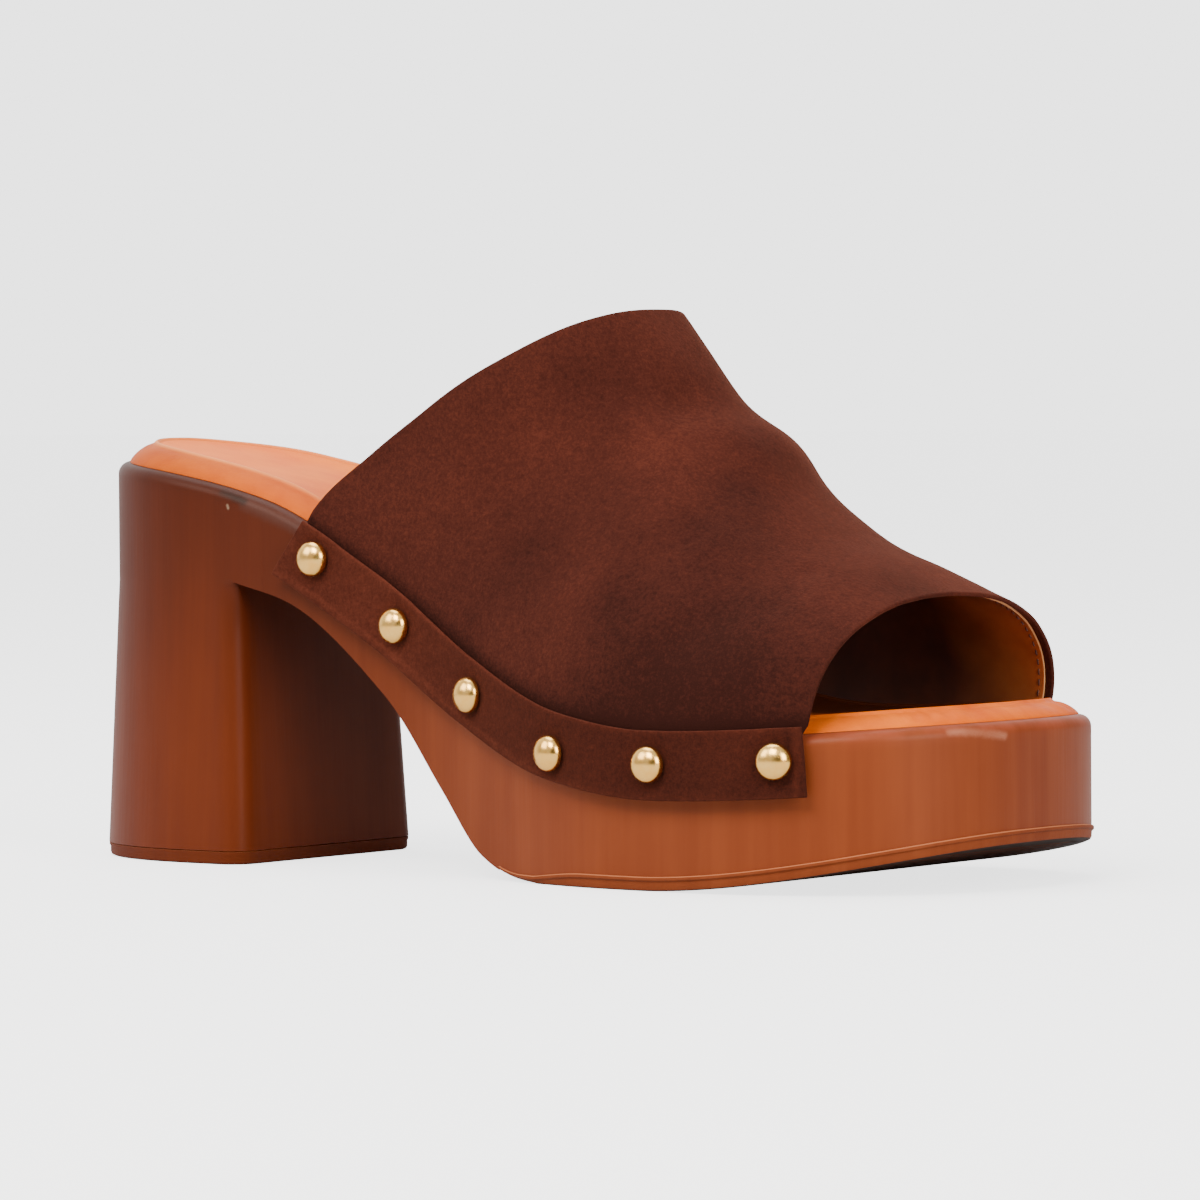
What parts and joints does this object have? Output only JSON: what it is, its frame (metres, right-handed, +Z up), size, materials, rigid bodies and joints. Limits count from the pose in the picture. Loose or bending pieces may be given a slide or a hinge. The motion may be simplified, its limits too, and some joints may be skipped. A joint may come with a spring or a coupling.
{
  "type": "heeled sandal",
  "caption": "Open-toed slip-on mule for the right foot: suede vamp with nailed side bands on a moulded platform sole with a block heel.",
  "frame": {"origin": "middle of the heel tread's lower face, on the floor", "axes": "+X along the sole towards the toes, +Y towards the inner side of the foot, +Z up"},
  "size_m": [0.2389, 0.1076, 0.1203],
  "materials": {
    "moulded_wood": "brown stained wood look, satin",
    "tread_rubber": "brown, moulded, semi-matt",
    "tan_leather": "tan, smooth, padded",
    "brown_suede": "dark brown suede, matt nap, tan leather lining",
    "gold_nail": "pale gold, polished"
  },
  "bodies": {
    "root": {"sole_unit": "moulded_wood", "heel_tread": "tread_rubber", "forepart_tread": "tread_rubber", "insole": "tan_leather", "upper": "brown_suede", "band_outer": "brown_suede", "band_inner": "brown_suede", "stud_outer_1": "gold_nail", "stud_outer_2": "gold_nail", "stud_outer_3": "gold_nail", "stud_outer_4": "gold_nail", "stud_outer_5": "gold_nail", "stud_outer_6": "gold_nail", "stud_inner_1": "gold_nail", "stud_inner_2": "gold_nail", "stud_inner_3": "gold_nail", "stud_inner_4": "gold_nail", "stud_inner_5": "gold_nail", "stud_inner_6": "gold_nail"}
  },
  "joints": []
}
